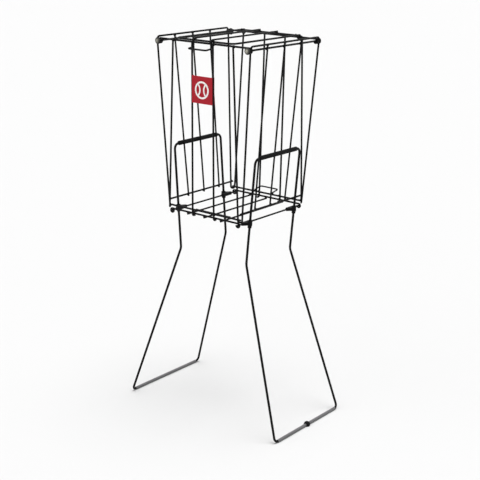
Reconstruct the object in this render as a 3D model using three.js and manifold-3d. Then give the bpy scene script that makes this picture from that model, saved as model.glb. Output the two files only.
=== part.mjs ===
// Wire tennis ball hopper: a tapered wire basket with a hinged lid, standing on two wire loops
// that slide and tilt in guides on the floor's edge rods.
// Millimetres, +Z up. X runs from the left loop to the right loop, Y from front to back.
// The origin lies on the floor under the middle of the basket.

import * as THREE from 'three';
import { mergeVertices } from 'three/addons/utils/BufferGeometryUtils.js';
import Module from 'manifold-3d';

// Clearance between two pieces that touch on the real object
const CONTACT = 0.3;

// Wire diameters
const FRAME_WIRE = 4.8;
const RAIL_WIRE = 5;
const FLOOR_WIRE = 4.4;
const THIN_WIRE = 3.8;
const AXLE_ROD = 5;
const LEG_WIRE = 6;

// Basket, measured on the centre lines of its wires: the half widths lie on the corner wires,
// the half depths on the front and back walls
const RIM_HEIGHT = 965;
const FLOOR_HEIGHT = 530.5;
const RIM_HALF_WIDTH = 145;
const RIM_HALF_DEPTH = 136.5;
const BASE_HALF_WIDTH = 116.4;
const BASE_HALF_DEPTH = 129.6;
const RIM_CORNER_BEND = 8;

// Narrow U at each lower corner of a side hoop, set diagonally from the side wall to the front
const FOLD_WIDTH = 6.2;
const FOLD_DEPTH = 8;
const FOLD_TOP_HALF_WIDTH = 93.3;
const FOLD_END_DROP = 3;

// Axle rods under the rim, and the caps pressed on their ends
const AXLE_DROP = 10;
const CAP_DIAMETER = 17;
const CAP_SKIRT = 2.6;
const CAP_DOME = 4.2;
const CAP_SOCKET = 4;

// Wires of the four walls
const WALL_WIRE_TOP_HALF_GAP = 32.4;
const WALL_WIRE_ROD_GAP = 19;
const BACK_WIRE_SHIFT = 8;
const WIRE_HOOK_LENGTH = 4;
const SIDE_WIRE_TOP_PITCH = 67.3;
const SIDE_WIRE_BASE_PITCH = 61;
const SIDE_WIRE_TOP_SHIFT = -5;
const SIDE_RAIL_RISE = 28.5;
const SIDE_WIRE_TAIL = 2;

// Sill wires and floor
const SILL_GAP = 9.2;
const EDGE_ROD_INSET = 10.4;
const EDGE_ROD_OVERHANG = 2.5;
const FLOOR_ROD_OVERHANG = 3;
const CROSS_WIRE_INSET = 32.9;
const CROSS_WIRE_OVERHANG = 3;

// Back bail
const BAIL_HALF_GAP = 28.3;
const BAIL_WIRE_GAP = 9.7;
const BAIL_REACH = 24;
const BAIL_RISE = 5;
const BAIL_BEND = 5;

// Red plate
const PLATE_THICKNESS = 1.6;
const PLATE_LEFT_EDGE = 0.8;
const PLATE_RIGHT_EDGE = 3;
const PLATE_LIP_ANGLE = Math.PI * 0.44;
const PLATE_HEIGHT = 66;
const PLATE_TOP_DROP = 83;

// Lid
const LID_CORNER_BEND = 14;
const LID_ROD_TAIL = 2.2;
const HANDLE_GAP = 0.8;
const HANDLE_DROP = 21;
const HANDLE_REACH = 20;
const HANDLE_TIP_DROP = 2;
const HANDLE_BEND = 5;

// Leg loops
const GRIP_HEIGHT = 691.6;
const KNEE_HEIGHT = 423.5;
const LOOP_INSET = 34.1;
const LOOP_LEAN = 0.0835;
const FOOT_HALF_SPREAD = 241;
const FOOT_HALF_DEPTH = 135;
const LOOP_TOP_BEND = 14;
const KNEE_BEND = 28;
const FOOT_BEND = 10;
const GRIP_WALL = 2.3;
const GRIP_END_MARGIN = 1;
const FOOT_SLEEVE_WALL = 0.6;
const FOOT_SLEEVE_END_MARGIN = 1;
const BALL_DIAMETER = 16.4;

// Guides and stop collars
const GUIDE_WALL = 2.7;
const GUIDE_HEIGHT = 13;
const GUIDE_WEB_THICKNESS = 8;
const GUIDE_TIP_WALL = 1.5;
const GUIDE_TIP_REACH = 16;
const COLLAR_WALL = 1.7;
const COLLAR_HEIGHT = 5;

// Facets
const WIRE_SIDES = 8;
const ROUND_SIDES = 16;
const BEND_STEP = Math.PI / 7;
const DOME_STEPS = 6;
const LIP_STEPS = 4;
const BALL_STEPS = 12;
const WEB_CORNER_STEPS = 5;
const SHORTEST_RUN = 0.03;
const CUT_OVERRUN = 2;

// Materials
const finish = (color, roughness, metalness) => () => (
  new THREE.MeshStandardMaterial({ color, roughness, metalness })
);
const blackPaint = finish(0x131313, 0.32, 0.3);
const blackRubber = finish(0x161616, 0.62, 0);
const greyVinyl = finish(0x6c6c6e, 0.45, 0);
const zincPlate = finish(0x9a978c, 0.3, 0.9);
const redPlastic = finish(0xa81c28, 0.4, 0);

// Solid modelling helpers
const wasm = await Module();
wasm.setup();

function toSolid(geometry) {
  const bare = new THREE.BufferGeometry();
  bare.setAttribute('position', geometry.attributes.position.clone());
  if (geometry.index) bare.setIndex(geometry.index.clone());
  const merged = mergeVertices(bare);
  return new wasm.Manifold(new wasm.Mesh({
    numProp: 3,
    vertProperties: Float32Array.from(merged.attributes.position.array),
    triVerts: Uint32Array.from(merged.index.array),
  }));
}

function toGeometry(solid) {
  const mesh = solid.getMesh();
  const geometry = new THREE.BufferGeometry();
  const corners = Float32Array.from(mesh.vertProperties);
  geometry.setAttribute('position', new THREE.BufferAttribute(corners, mesh.numProp));
  geometry.setIndex(new THREE.BufferAttribute(Uint32Array.from(mesh.triVerts), 1));
  geometry.computeVertexNormals();
  return geometry;
}

// Stations along a bent wire: straight runs between corners, and an arc at each corner.
// A station holds a point of the centre line and the direction of the wire there.
function stationsAlong(corners, bends, closed) {
  const points = corners.map(([x, y, z]) => new THREE.Vector3(x, y, z));
  const count = points.length;
  const stations = [];
  const add = (point, heading) => {
    const last = stations[stations.length - 1];
    if (!last || last.point.distanceTo(point) > SHORTEST_RUN) stations.push({ point, heading });
  };
  for (let i = 0; i < count; i += 1) {
    const isEnd = !closed && (i === 0 || i === count - 1);
    if (isEnd) {
      const neighbour = i === 0 ? points[1] : points[count - 2];
      const heading = new THREE.Vector3().subVectors(points[i], neighbour).normalize();
      add(points[i].clone(), i === 0 ? heading.negate() : heading);
      continue;
    }
    const before = points[(i + count - 1) % count];
    const after = points[(i + 1) % count];
    const arriving = new THREE.Vector3().subVectors(points[i], before).normalize();
    const leaving = new THREE.Vector3().subVectors(after, points[i]).normalize();
    const turn = arriving.angleTo(leaving);
    const radius = Array.isArray(bends) ? bends[i] : bends;
    const start = points[i].clone().addScaledVector(arriving, -radius * Math.tan(turn / 2));
    const inward = leaving.clone().addScaledVector(arriving, -arriving.dot(leaving)).normalize();
    const steps = Math.max(2, Math.ceil(turn / BEND_STEP));
    for (let k = 0; k <= steps; k += 1) {
      const angle = (turn * k) / steps;
      const point = start.clone()
        .addScaledVector(arriving, radius * Math.sin(angle))
        .addScaledVector(inward, radius * (1 - Math.cos(angle)));
      const heading = arriving.clone()
        .multiplyScalar(Math.cos(angle))
        .addScaledVector(inward, Math.sin(angle));
      add(point, heading.normalize());
    }
  }
  return stations;
}

// A bent round wire as one closed surface, with flat ends unless it closes on itself
function wireGeometry(corners, diameter, bends = 0, closed = false) {
  const stations = stationsAlong(corners, bends, closed);
  const first = stations[0].heading;
  const isUpright = Math.abs(first.z) > Math.SQRT1_2;
  const reference = isUpright ? new THREE.Vector3(1, 0, 0) : new THREE.Vector3(0, 0, 1);
  let side = new THREE.Vector3().crossVectors(first, reference).normalize();
  let heading = first;
  const positions = [];
  for (const station of stations) {
    const turn = new THREE.Quaternion().setFromUnitVectors(heading, station.heading);
    side = side.clone().applyQuaternion(turn);
    heading = station.heading;
    const up = new THREE.Vector3().crossVectors(heading, side);
    for (let k = 0; k < WIRE_SIDES; k += 1) {
      const angle = ((k + 0.5) * 2 * Math.PI) / WIRE_SIDES;
      const corner = station.point.clone()
        .addScaledVector(side, (diameter / 2) * Math.cos(angle))
        .addScaledVector(up, (diameter / 2) * Math.sin(angle));
      positions.push(corner.x, corner.y, corner.z);
    }
  }
  const rings = stations.length;
  const indices = [];
  const spans = closed ? rings : rings - 1;
  for (let r = 0; r < spans; r += 1) {
    for (let k = 0; k < WIRE_SIDES; k += 1) {
      const a = r * WIRE_SIDES + k;
      const b = r * WIRE_SIDES + ((k + 1) % WIRE_SIDES);
      const c = ((r + 1) % rings) * WIRE_SIDES + ((k + 1) % WIRE_SIDES);
      const d = ((r + 1) % rings) * WIRE_SIDES + k;
      indices.push(a, b, c, a, c, d);
    }
  }
  if (!closed) {
    const lastRing = (rings - 1) * WIRE_SIDES;
    for (let k = 1; k < WIRE_SIDES - 1; k += 1) {
      indices.push(0, k + 1, k, lastRing, lastRing + k, lastRing + k + 1);
    }
  }
  const geometry = new THREE.BufferGeometry();
  geometry.setAttribute('position', new THREE.Float32BufferAttribute(positions, 3));
  geometry.setIndex(indices);
  geometry.computeVertexNormals();
  return geometry;
}

// A turned piece about the Y axis. Half a facet of turn leaves a flat facet facing down.
function turnedGeometry(profile) {
  const outline = profile.map(([radius, along]) => new THREE.Vector2(radius, along));
  return new THREE.LatheGeometry(outline, ROUND_SIDES, Math.PI / ROUND_SIDES);
}

// A straight sleeve along Y with a through bore
function sleeveGeometry(outerDiameter, boreDiameter, length) {
  const outer = outerDiameter / 2;
  const bore = boreDiameter / 2;
  const half = length / 2;
  return turnedGeometry([[bore, -half], [outer, -half], [outer, half], [bore, half], [bore, -half]]);
}

function arc(centre, radius, fromAngle, toAngle, steps) {
  return Array.from({ length: steps + 1 }, (_, k) => {
    const angle = fromAngle + ((toAngle - fromAngle) * k) / steps;
    return [centre[0] + radius * Math.cos(angle), centre[1] + radius * Math.sin(angle)];
  });
}

const hopper = new THREE.Group();
const basket = new THREE.Group();
const lid = new THREE.Group();
hopper.add(basket, lid);

function addPiece(group, name, geometry, material) {
  const mesh = new THREE.Mesh(geometry, material);
  mesh.name = name;
  group.add(mesh);
  return mesh;
}

const touching = (diameterA, diameterB) => (diameterA + diameterB) / 2 + CONTACT;
const sides = [['left', -1], ['right', 1]];
const ends = [['front', -1], ['back', 1]];

// Levels at the floor: the lower sills lie on the floor rods, and the hoops' narrow Us hold
// the upper sills
const floorZ = FLOOR_HEIGHT;
const edgeEyeRadius = touching(FLOOR_WIRE, FRAME_WIRE);
const lowerSillZ = floorZ + edgeEyeRadius;
const upperSillZ = lowerSillZ + SILL_GAP;
const hoopFootZ = upperSillZ - touching(FRAME_WIRE, FRAME_WIRE);

// Where the corner wires and the front and back walls stand at any height
const { mapLinear } = THREE.MathUtils;
const between = (z, base, rim) => mapLinear(z, hoopFootZ, RIM_HEIGHT, base, rim);
const wallWidthAt = (z) => between(z, BASE_HALF_WIDTH, RIM_HALF_WIDTH);
const cornerDepthAt = (z) => between(z, BASE_HALF_DEPTH - FOLD_DEPTH, RIM_HALF_DEPTH);
const wallDepthAt = (z) => between(z, BASE_HALF_DEPTH, RIM_HALF_DEPTH);

// Side hoops: one wire each, from the front rail down, round a narrow U, up the corner,
// along the rim, and the same way down at the back
const frontWireTop = RIM_HEIGHT - FOLD_END_DROP;
const foldInnerX = BASE_HALF_WIDTH - FOLD_WIDTH;
for (const [side, s] of sides) {
  const half = ends.map(([, e]) => [
    [s * FOLD_TOP_HALF_WIDTH, e * RIM_HALF_DEPTH, frontWireTop],
    [s * foldInnerX, e * BASE_HALF_DEPTH, hoopFootZ],
    [s * BASE_HALF_WIDTH, e * (BASE_HALF_DEPTH - FOLD_DEPTH), hoopFootZ],
    [s * RIM_HALF_WIDTH, e * RIM_HALF_DEPTH, RIM_HEIGHT],
  ]);
  const corners = [...half[0], ...half[1].toReversed()];
  const fold = Math.hypot(FOLD_WIDTH, FOLD_DEPTH) / 2 - 2 * CONTACT;
  const bends = [0, fold, fold, RIM_CORNER_BEND, RIM_CORNER_BEND, fold, fold, 0];
  addPiece(basket, `${side}_side_hoop`, wireGeometry(corners, FRAME_WIRE, bends), blackPaint());
}

// Axle rods under the rim, inside the corner wires, with a cap on each end
const axleZ = RIM_HEIGHT - AXLE_DROP;
const axleX = wallWidthAt(axleZ) - touching(FRAME_WIRE, AXLE_ROD);
const capSeat = cornerDepthAt(axleZ) + FRAME_WIRE / 2 + CONTACT;
const capProfile = () => {
  const socket = AXLE_ROD / 2 + CONTACT;
  const rim = CAP_DIAMETER / 2;
  const sphere = (rim * rim + CAP_DOME * CAP_DOME) / (2 * CAP_DOME);
  const sweep = Math.asin(rim / sphere);
  const centre = [0, CAP_SKIRT + CAP_DOME - sphere];
  const dome = arc(centre, sphere, Math.PI / 2 - sweep, Math.PI / 2, DOME_STEPS);
  dome[dome.length - 1][0] = 0;
  return [[0, CAP_SOCKET], [socket, CAP_SOCKET], [socket, 0], [rim, 0], ...dome];
};
for (const [side, s] of sides) {
  const reach = capSeat + CAP_SOCKET - CONTACT;
  const rod = wireGeometry([[s * axleX, -reach, axleZ], [s * axleX, reach, axleZ]], AXLE_ROD);
  addPiece(basket, `${side}_axle_rod`, rod, blackPaint());
  for (const [end, e] of ends) {
    const cap = addPiece(basket, `${side}_${end}_cap`, turnedGeometry(capProfile()), zincPlate());
    cap.position.set(s * axleX, e * capSeat, axleZ);
    if (e < 0) cap.rotation.x = Math.PI;
  }
}

// A straight wire along X that passes over two rods and curls round each of them in an eye
function eyedWireGeometry(rodX, rodZ, y, eyeRadius, diameter) {
  const eye = (s) => [
    [s * (rodX - eyeRadius), y, rodZ],
    [s * (rodX - eyeRadius), y, rodZ - eyeRadius],
    [s * (rodX + eyeRadius), y, rodZ - eyeRadius],
    [s * (rodX + eyeRadius), y, rodZ + eyeRadius],
  ];
  return wireGeometry([...eye(-1), ...eye(1).toReversed()], diameter, eyeRadius);
}

// Top rails, front and back, on the two axle rods
const axleEyeRadius = touching(AXLE_ROD, RAIL_WIRE);
const eyeFoot = axleZ - axleEyeRadius - RAIL_WIRE / 2;
const railY = cornerDepthAt(eyeFoot) - touching(FRAME_WIRE, RAIL_WIRE);
const railZ = axleZ + axleEyeRadius;
for (const [end, e] of ends) {
  const rail = eyedWireGeometry(axleX, axleZ, e * railY, axleEyeRadius, RAIL_WIRE);
  addPiece(basket, `${end}_top_rail`, rail, blackPaint());
}

// Floor: the sills lie inside the wall wires, the lower ones on the two edge rods. The upper
// ones end against the outer strand of each U.
const edgeRodX = BASE_HALF_WIDTH - EDGE_ROD_INSET;
const floorPitch = edgeRodX / 2;
const wallWireBaseX = floorPitch - WALL_WIRE_ROD_GAP;
const sillY = wallDepthAt(lowerSillZ) - touching(FRAME_WIRE, FRAME_WIRE);
const upperSillReach = wallWidthAt(upperSillZ) - FRAME_WIRE / 2 - CONTACT;
for (const [end, e] of ends) {
  const lower = eyedWireGeometry(edgeRodX, floorZ, e * sillY, edgeEyeRadius, FRAME_WIRE);
  addPiece(basket, `${end}_lower_sill`, lower, blackPaint());
  const upper = wireGeometry(
    [[-upperSillReach, e * sillY, upperSillZ], [upperSillReach, e * sillY, upperSillZ]],
    FRAME_WIRE,
  );
  addPiece(basket, `${end}_upper_sill`, upper, blackPaint());
}
for (const [side, s] of sides) {
  const reach = sillY + FRAME_WIRE / 2 + EDGE_ROD_OVERHANG;
  const rod = wireGeometry([[s * edgeRodX, -reach, floorZ], [s * edgeRodX, reach, floorZ]], FLOOR_WIRE);
  addPiece(basket, `${side}_floor_edge_rod`, rod, blackPaint());
}
for (const [place, n] of [['left', -1], ['middle', 0], ['right', 1]]) {
  const reach = sillY + FLOOR_ROD_OVERHANG;
  const x = n * floorPitch;
  const rod = wireGeometry([[x, -reach, floorZ], [x, reach, floorZ]], FLOOR_WIRE);
  addPiece(basket, `${place}_floor_rod`, rod, blackPaint());
}
const crossReach = floorPitch + CROSS_WIRE_OVERHANG;
const crossY = CROSS_WIRE_INSET - sillY;
const crossZ = floorZ + touching(FLOOR_WIRE, THIN_WIRE);
const crossWire = wireGeometry(
  [[-crossReach, crossY, crossZ], [crossReach, crossY, crossZ]],
  THIN_WIRE,
);
addPiece(basket, 'floor_cross_wire', crossWire, blackPaint());

// Two wires of the front and of the back wall, hooked under the lower sill beside the outer
// floor rods
const sillHookBend = touching(FRAME_WIRE, FRAME_WIRE);
const sillHookZ = lowerSillZ - sillHookBend;
for (const [end, e] of ends) {
  for (const [side, s] of sides) {
    const shift = e > 0 ? BACK_WIRE_SHIFT : 0;
    const topX = shift + s * WALL_WIRE_TOP_HALF_GAP;
    const baseX = shift + s * wallWireBaseX;
    const corners = [
      [topX, e * RIM_HALF_DEPTH, frontWireTop],
      [baseX, e * wallDepthAt(sillHookZ), sillHookZ],
      [baseX, e * (sillY - WIRE_HOOK_LENGTH), sillHookZ],
    ];
    const wire = wireGeometry(corners, FRAME_WIRE, sillHookBend);
    addPiece(basket, `${end}_${side}_wall_wire`, wire, blackPaint());
  }
}

// Side walls: a raised rail, and three wires that rise from inside the rail, pass outside the
// axle rod and end under the rim
const sideRailZ = floorZ + SIDE_RAIL_RISE;
const sideRailX = wallWidthAt(sideRailZ) - touching(FRAME_WIRE, FRAME_WIRE);
const sideRailReach = cornerDepthAt(sideRailZ) + FRAME_WIRE / 2;
const railGap = touching(FRAME_WIRE, FLOOR_WIRE);
const axleGap = touching(AXLE_ROD, FLOOR_WIRE);
const sideWireLean = Math.atan2(axleX + axleGap - sideRailX + railGap, axleZ - sideRailZ);
const sideWireX = (z) => mapLinear(
  z,
  sideRailZ,
  axleZ,
  sideRailX - railGap / Math.cos(sideWireLean),
  axleX + axleGap / Math.cos(sideWireLean),
);
const sideWireFootZ = sideRailZ - FRAME_WIRE / 2 - SIDE_WIRE_TAIL;
const sideWireTopDrop = (FRAME_WIRE + FLOOR_WIRE * Math.sin(sideWireLean)) / 2 + CONTACT;
const sideWireTopZ = RIM_HEIGHT - sideWireTopDrop;
for (const [side, s] of sides) {
  const rail = wireGeometry(
    [[s * sideRailX, -sideRailReach, sideRailZ], [s * sideRailX, sideRailReach, sideRailZ]],
    FRAME_WIRE,
  );
  addPiece(basket, `${side}_side_rail`, rail, blackPaint());
  for (const [place, n] of [['front', -1], ['middle', 0], ['back', 1]]) {
    const topY = n * SIDE_WIRE_TOP_PITCH + SIDE_WIRE_TOP_SHIFT;
    const wire = wireGeometry([
      [s * sideWireX(sideWireFootZ), n * SIDE_WIRE_BASE_PITCH, sideWireFootZ],
      [s * sideWireX(sideWireTopZ), topY, sideWireTopZ],
    ], FLOOR_WIRE);
    addPiece(basket, `${side}_${place}_side_wire`, wire, blackPaint());
  }
}

// Bail behind the basket: its two arms lie on the back upper sill, the left one beside the
// left wall wire
const bailSeatZ = upperSillZ + touching(FRAME_WIRE, THIN_WIRE);
const bailX = BACK_WIRE_SHIFT - wallWireBaseX - BAIL_WIRE_GAP + BAIL_HALF_GAP;
const bailArm = (s) => [
  [bailX + s * BAIL_HALF_GAP, sillY - THIN_WIRE / 2, bailSeatZ],
  [bailX + s * BAIL_HALF_GAP, sillY + BAIL_REACH, bailSeatZ + BAIL_RISE],
];
const bail = wireGeometry([...bailArm(-1), ...bailArm(1).toReversed()], THIN_WIRE, BAIL_BEND);
addPiece(basket, 'back_bail', bail, blackPaint());

// Red plate in front of the two middle wires: a lip near each edge hooks behind its wire, and
// the edges stand past the lips, the right one in front of the right wire
function plateGeometry(wireHalfGap) {
  const inner = FRAME_WIRE / 2 + CONTACT;
  const outer = inner + PLATE_THICKNESS;
  const lipX = wireHalfGap - inner;
  const rightLip = [
    ...arc([wireHalfGap, 0], inner, Math.PI, PLATE_LIP_ANGLE, LIP_STEPS),
    ...arc([wireHalfGap, 0], outer, PLATE_LIP_ANGLE, Math.PI, LIP_STEPS),
  ];
  const leftLip = rightLip.map(([x, y]) => [-x, y]).toReversed();
  const leftEdge = -lipX - PLATE_LEFT_EDGE;
  const rightEdge = lipX + PLATE_RIGHT_EDGE;
  const outline = [
    [leftEdge, -outer],
    [rightEdge, -outer],
    [rightEdge, -inner],
    [lipX, -inner],
    ...rightLip,
    [lipX - PLATE_THICKNESS, -inner],
    [PLATE_THICKNESS - lipX, -inner],
    ...leftLip,
    [-lipX, -inner],
    [leftEdge, -inner],
  ];
  const shape = new THREE.Shape(outline.map(([x, y]) => new THREE.Vector2(x, y)));
  return new THREE.ExtrudeGeometry(shape, { depth: PLATE_HEIGHT, bevelEnabled: false, curveSegments: 1 });
}
const plateBaseZ = RIM_HEIGHT - PLATE_TOP_DROP - PLATE_HEIGHT;
const plateWireHalfGap = mapLinear(
  plateBaseZ + PLATE_HEIGHT / 2,
  sillHookZ,
  frontWireTop,
  wallWireBaseX,
  WALL_WIRE_TOP_HALF_GAP,
);
const plateBody = plateGeometry(plateWireHalfGap);
const plate = addPiece(basket, 'red_plate', plateBody, redPlastic());
plate.position.set(0, -wallDepthAt(plateBaseZ), plateBaseZ);
plate.rotation.x = Math.atan2(RIM_HALF_DEPTH - BASE_HALF_DEPTH, RIM_HEIGHT - hoopFootZ);

// Lid: a frame hinged on the back rail between the hoops, a cross wire, and a U of wire whose
// ends are the lid's two rods and whose bent front is the lifting handle
const hingeRadius = touching(RAIL_WIRE, FRAME_WIRE);
const lidZ = railZ + hingeRadius;
const lidHalfWidth = FOLD_TOP_HALF_WIDTH - touching(FRAME_WIRE, FRAME_WIRE);
const lidEye = (s) => [
  [s * lidHalfWidth, railY - hingeRadius, railZ],
  [s * lidHalfWidth, railY - hingeRadius, railZ - hingeRadius],
  [s * lidHalfWidth, railY + hingeRadius, railZ - hingeRadius],
  [s * lidHalfWidth, railY + hingeRadius, lidZ],
];
const lidCorners = [
  ...lidEye(-1),
  [-lidHalfWidth, -railY, lidZ],
  [lidHalfWidth, -railY, lidZ],
  ...lidEye(1).toReversed(),
];
const lidBends = lidCorners.map(([, y]) => (y === -railY ? LID_CORNER_BEND : hingeRadius));
addPiece(lid, 'lid_frame', wireGeometry(lidCorners, FRAME_WIRE, lidBends), blackPaint());

// The cross wire lies against the back wall wires when the lid is turned right over
const lidCrossY = 2 * railY - RIM_HALF_DEPTH - touching(FRAME_WIRE, FRAME_WIRE);
const lidCrossReach = lidHalfWidth - FRAME_WIRE / 2 - CONTACT;
const lidCross = wireGeometry(
  [[-lidCrossReach, lidCrossY, lidZ], [lidCrossReach, lidCrossY, lidZ]],
  FRAME_WIRE,
);
addPiece(lid, 'lid_cross_wire', lidCross, blackPaint());

const lidRodZ = lidZ + touching(FRAME_WIRE, FLOOR_WIRE);
// The arms of the handle hang in front of the top rail, between the front wall wires
const lidRodX = WALL_WIRE_TOP_HALF_GAP - touching(FRAME_WIRE, FLOOR_WIRE);
const handleY = -railY - touching(RAIL_WIRE, FLOOR_WIRE) - HANDLE_GAP;
const handleZ = lidRodZ - HANDLE_DROP;
const lidHandleHalf = (s) => [
  [s * lidRodX, lidCrossY + LID_ROD_TAIL, lidRodZ],
  [s * lidRodX, handleY, lidRodZ],
  [s * lidRodX, handleY, handleZ],
  [s * lidRodX, handleY - HANDLE_REACH, handleZ - HANDLE_TIP_DROP],
];
const lidHandle = wireGeometry(
  [...lidHandleHalf(-1), ...lidHandleHalf(1).toReversed()],
  FLOOR_WIRE,
  HANDLE_BEND,
);
addPiece(lid, 'lid_rods_and_handle', lidHandle, blackPaint());

// Leg loops. The short upper part of each leg leans on the outside of the raised side rail.
const leanAt = (z) => sideRailX + touching(FRAME_WIRE, LEG_WIRE) + (z - sideRailZ) * LOOP_LEAN;
const legTilt = Math.atan(LOOP_LEAN);
const loopHalfDepth = sillY - LOOP_INSET;
const legBore = LEG_WIRE + 2 * CONTACT;
const rodBoreDiameter = FLOOR_WIRE + 2 * CONTACT;
const gripDiameter = legBore + 2 * GRIP_WALL;
const footSleeveDiameter = legBore + 2 * FOOT_SLEEVE_WALL;
const guideDiameter = legBore + 2 * GUIDE_WALL;
const guideTipDiameter = rodBoreDiameter + 2 * GUIDE_TIP_WALL;
const collarDiameter = legBore + 2 * COLLAR_WALL;
const footZ = (footSleeveDiameter / 2) * Math.cos(Math.PI / ROUND_SIDES);

// A guide: a short barrel round the leg, and a web that tapers from it along the edge rod both
// ways. Both wires have a bore through it.
function guideGeometry(s) {
  const offset = leanAt(floorZ) - edgeRodX;
  const alongLeg = (radius, height) => toSolid(
    new THREE.CylinderGeometry(radius, radius, height, ROUND_SIDES)
      .rotateX(Math.PI / 2)
      .rotateY(s * legTilt)
      .translate(s * offset, 0, 0),
  );
  const barrel = alongLeg(guideDiameter / 2, GUIDE_HEIGHT);
  const barrelBore = alongLeg(legBore / 2, GUIDE_HEIGHT + CUT_OVERRUN);
  const tip = guideTipDiameter / 2;
  const outline = [
    ...arc([offset, 0], guideDiameter / 2, -Math.PI / 4, Math.PI / 4, WEB_CORNER_STEPS),
    ...arc([0, GUIDE_TIP_REACH], tip, Math.PI / 4, Math.PI, WEB_CORNER_STEPS),
    ...arc([0, -GUIDE_TIP_REACH], tip, Math.PI, Math.PI * 1.75, WEB_CORNER_STEPS),
  ];
  const shape = new THREE.Shape(outline.map(([x, y]) => new THREE.Vector2(s * x, y)));
  const web = toSolid(
    new THREE.ExtrudeGeometry(shape, { depth: GUIDE_WEB_THICKNESS, bevelEnabled: false, curveSegments: 1 })
      .translate(0, 0, -GUIDE_WEB_THICKNESS / 2),
  );
  const bore = rodBoreDiameter / 2;
  const rodBore = toSolid(
    new THREE.CylinderGeometry(bore, bore, 2 * (GUIDE_TIP_REACH + tip) + CUT_OVERRUN, ROUND_SIDES),
  );
  return toGeometry(barrel.add(web).subtract(rodBore).subtract(barrelBore));
}

for (const [side, s] of sides) {
  const guides = new THREE.Group();
  const loop = new THREE.Group();
  hopper.add(guides, loop);

  const half = (e) => [
    [s * FOOT_HALF_SPREAD, e * FOOT_HALF_DEPTH, footZ],
    [s * leanAt(KNEE_HEIGHT), e * loopHalfDepth, KNEE_HEIGHT],
    [s * leanAt(GRIP_HEIGHT), e * loopHalfDepth, GRIP_HEIGHT],
  ];
  const corners = [...half(-1), ...half(1).toReversed()];
  const halfBends = [FOOT_BEND, KNEE_BEND, LOOP_TOP_BEND];
  const bends = [...halfBends, ...halfBends.toReversed()];
  addPiece(loop, `${side}_leg_loop`, wireGeometry(corners, LEG_WIRE, bends, true), blackPaint());

  const gripLength = 2 * (loopHalfDepth - LOOP_TOP_BEND - GRIP_END_MARGIN);
  const gripSleeve = sleeveGeometry(gripDiameter, legBore, gripLength);
  const grip = addPiece(loop, `${side}_grip_sleeve`, gripSleeve, blackRubber());
  grip.position.set(s * leanAt(GRIP_HEIGHT), 0, GRIP_HEIGHT);

  const footLength = 2 * (FOOT_HALF_DEPTH - FOOT_BEND - FOOT_SLEEVE_END_MARGIN);
  const footSleeve = sleeveGeometry(footSleeveDiameter, legBore, footLength);
  const foot = addPiece(loop, `${side}_foot_sleeve`, footSleeve, greyVinyl());
  foot.position.set(s * FOOT_HALF_SPREAD, 0, footZ);

  for (const [end, e] of ends) {
    const guide = addPiece(guides, `${side}_${end}_guide`, guideGeometry(s), blackRubber());
    guide.position.set(s * edgeRodX, e * loopHalfDepth, floorZ);

    const collarDrop = GUIDE_HEIGHT / 2 + CONTACT + COLLAR_HEIGHT / 2;
    const collarZ = floorZ - collarDrop * Math.cos(legTilt);
    const collarSleeve = sleeveGeometry(collarDiameter, legBore, COLLAR_HEIGHT);
    const collar = addPiece(loop, `${side}_${end}_stop_collar`, collarSleeve, blackRubber());
    collar.position.set(s * leanAt(collarZ), e * loopHalfDepth, collarZ);
    collar.rotation.set(Math.PI / 2, s * legTilt, 0, 'YXZ');
  }

  // A ball on the right foot bar, cut level with the underside of the sleeve
  if (s > 0) {
    const hole = footSleeveDiameter / 2 + CONTACT;
    const radius = BALL_DIAMETER / 2;
    const mouth = Math.asin(hole / radius);
    const outside = arc([0, 0], radius, mouth - Math.PI / 2, Math.PI / 2 - mouth, BALL_STEPS);
    const ballSolid = toSolid(turnedGeometry([...outside, outside[0]]));
    const floorCut = toSolid(new THREE.BoxGeometry(BALL_DIAMETER, BALL_DIAMETER, BALL_DIAMETER)
      .translate(0, 0, -footZ - BALL_DIAMETER / 2));
    const ball = addPiece(loop, 'foot_bar_ball', toGeometry(ballSolid.subtract(floorCut)), blackRubber());
    ball.position.set(s * FOOT_HALF_SPREAD, 0, footZ);
  }
}

export default hopper;
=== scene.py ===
"""Looks of the wire tennis ball hopper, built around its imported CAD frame.

Sizes are in millimetres in the frame's own axes, and become metres where a mesh is made.
"""
import math

import bpy
from mathutils import Matrix, Vector, noise


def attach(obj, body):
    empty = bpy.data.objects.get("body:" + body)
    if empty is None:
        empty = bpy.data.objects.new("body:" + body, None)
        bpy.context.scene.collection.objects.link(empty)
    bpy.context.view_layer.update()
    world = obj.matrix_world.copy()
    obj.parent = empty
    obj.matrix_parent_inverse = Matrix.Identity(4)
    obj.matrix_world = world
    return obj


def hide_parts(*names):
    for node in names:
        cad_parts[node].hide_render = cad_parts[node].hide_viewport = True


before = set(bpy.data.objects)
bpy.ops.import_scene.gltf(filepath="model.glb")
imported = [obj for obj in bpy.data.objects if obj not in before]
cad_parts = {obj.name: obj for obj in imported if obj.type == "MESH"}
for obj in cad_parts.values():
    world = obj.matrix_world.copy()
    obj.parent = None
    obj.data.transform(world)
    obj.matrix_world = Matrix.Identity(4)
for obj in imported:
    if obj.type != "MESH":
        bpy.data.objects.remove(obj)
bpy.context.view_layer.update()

MM = 0.001

# Clearance between two pieces that touch, and the wire diameters
CONTACT = 0.3
FRAME_WIRE = 4.8
RAIL_WIRE = 5
FLOOR_WIRE = 4.4
THIN_WIRE = 3.8
AXLE_ROD = 5
LEG_WIRE = 6

# Basket
RIM_HEIGHT = 965
FLOOR_HEIGHT = 530.5
RIM_HALF_WIDTH = 145
RIM_HALF_DEPTH = 136.5
BASE_HALF_WIDTH = 116.4
BASE_HALF_DEPTH = 129.6
RIM_CORNER_BEND = 8
FOLD_WIDTH = 6.2
FOLD_DEPTH = 8
FOLD_TOP_HALF_WIDTH = 93.3
FOLD_END_DROP = 3

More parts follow.
